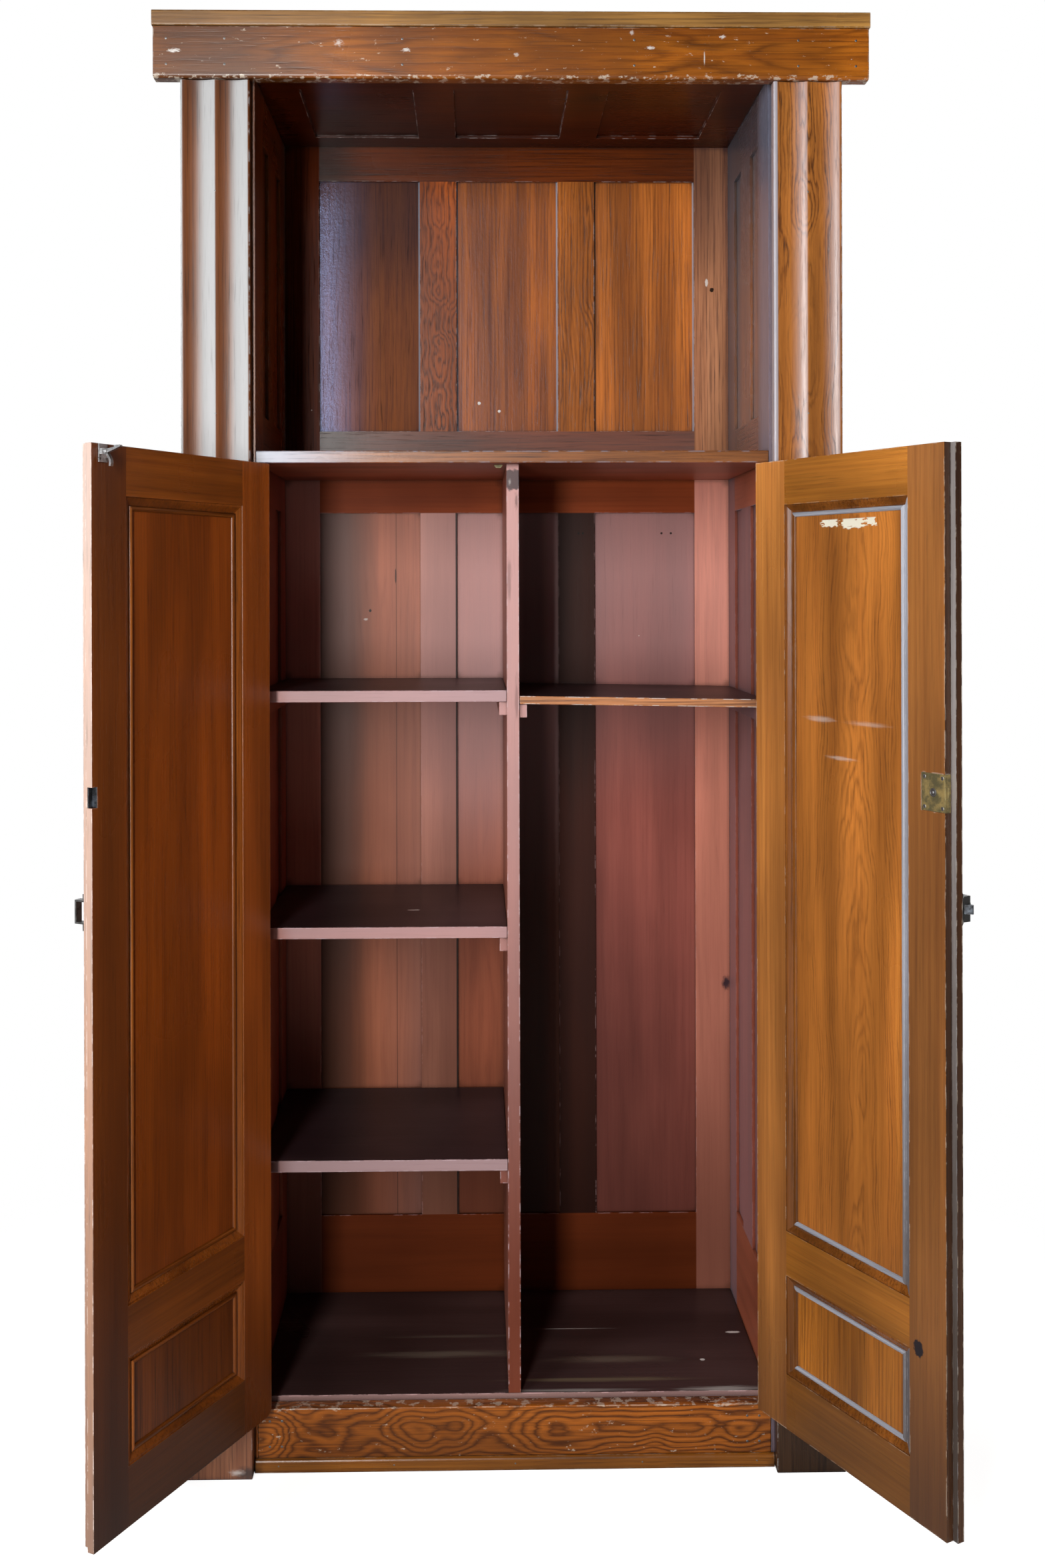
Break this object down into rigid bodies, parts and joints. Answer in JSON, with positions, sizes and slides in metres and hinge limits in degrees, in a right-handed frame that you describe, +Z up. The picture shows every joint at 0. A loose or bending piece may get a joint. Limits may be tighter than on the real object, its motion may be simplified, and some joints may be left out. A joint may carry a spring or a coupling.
{
  "type": "schoolhouse cabinet",
  "caption": "Tall oak schoolhouse cabinet: cornice, fluted casings and an open panelled niche above a divided, shelved cupboard with hinged framed doors, latch, lock and elbow catch.",
  "frame": {"origin": "on the floor, on the cabinet's centre plane, at mid thickness of the base rail", "axes": "+Z up, +X to the right of someone facing the cabinet, +Y into the cabinet"},
  "size_m": [1.2789, 0.8248, 2.4003],
  "materials": {
    "oak": "aged amber varnish, satin",
    "red_stain": "old red-brown stain, satin",
    "iron": "dark, worn",
    "steel": "worn bright",
    "brass": "aged, dull"
  },
  "bodies": {
    "cabinet": {"left_side_frame": "oak", "right_side_frame": "oak", "left_side_niche_front_panel": "oak", "left_side_niche_rear_panel": "oak", "right_side_niche_front_panel": "oak", "right_side_niche_rear_panel": "oak", "left_side_cupboard_front_panel": "red_stain", "left_side_cupboard_rear_panel": "red_stain", "right_side_cupboard_front_panel": "red_stain", "right_side_cupboard_rear_panel": "red_stain", "back_frame": "oak", "back_niche_left_panel": "oak", "back_niche_centre_panel": "oak", "back_niche_right_panel": "oak", "back_cupboard_left_panel": "red_stain", "back_cupboard_centre_panel": "red_stain", "back_cupboard_right_panel": "red_stain", "niche_ceiling": "oak", "niche_shelf": "oak", "cupboard_floor": "red_stain", "divider": "red_stain", "upper_shelf": "red_stain", "middle_shelf": "red_stain", "lower_shelf": "red_stain", "hat_shelf": "red_stain", "base_rail": "oak", "base_shoe": "oak", "left_plinth_block": "red_stain", "right_plinth_block": "red_stain", "left_casing": "oak", "right_casing": "oak", "frieze_board": "oak", "cornice_cap": "oak", "left_upper_hinge_jamb_leaf": "iron", "left_lower_hinge_jamb_leaf": "iron", "right_upper_hinge_jamb_leaf": "iron", "right_lower_hinge_jamb_leaf": "iron", "catch_strike": "brass"},
    "left_door": {"left_door_frame": "oak", "left_door_upper_panel": "oak", "left_door_lower_panel": "oak", "left_upper_hinge_door_leaf": "iron", "left_lower_hinge_door_leaf": "iron", "latch_keeper": "iron", "lock_strike": "steel", "catch_bracket": "steel"},
    "right_door": {"right_door_frame": "oak", "right_door_upper_panel": "oak", "right_door_lower_panel": "oak", "right_upper_hinge_door_leaf": "iron", "right_lower_hinge_door_leaf": "iron", "latch_case": "iron", "lock_case": "brass", "key_escutcheon": "brass"},
    "latch_knob": {"latch_knob": "iron"},
    "latch_bolt": {"latch_bolt": "steel"},
    "lock_bolt": {"lock_bolt": "brass"},
    "catch_lever": {"catch_lever": "steel"}
  },
  "joints": [
    {"name": "left_door_swing", "type": "hinge", "parent": "cabinet", "child": "left_door", "pos_m": [-0.42425, -0.0175, 0.882], "axis": [0, 0, 1], "range_deg": [-4, 118.3]},
    {"name": "right_door_swing", "type": "hinge", "parent": "cabinet", "child": "right_door", "pos_m": [0.42425, -0.0175, 0.882], "axis": [0, 0, -1], "range_deg": [-4, 118.3]},
    {"name": "latch_knob_turn", "type": "hinge", "parent": "right_door", "child": "latch_knob", "pos_m": [0.62968, -0.37056, 0.998], "axis": [0.8805, 0.4741, 0], "range_deg": [0, 40]},
    {"name": "latch_bolt_slide", "type": "slide", "parent": "right_door", "child": "latch_bolt", "axis": [-0.4741, 0.8805, 0], "range_m": [0, 0.007]},
    {"name": "lock_bolt_slide", "type": "slide", "parent": "right_door", "child": "lock_bolt", "axis": [0.4741, -0.8805, 0], "range_m": [0, 0.008]},
    {"name": "catch_lever_tilt", "type": "hinge", "parent": "left_door", "child": "catch_lever", "pos_m": [-0.58298, -0.38718, 1.649], "axis": [-0.4741, -0.8805, 0], "range_deg": [-10, 8]}
  ],
  "couplings": [
    {"joint": "latch_bolt_slide", "follows": "latch_knob_turn", "m_per_rad": 0.01}
  ]
}
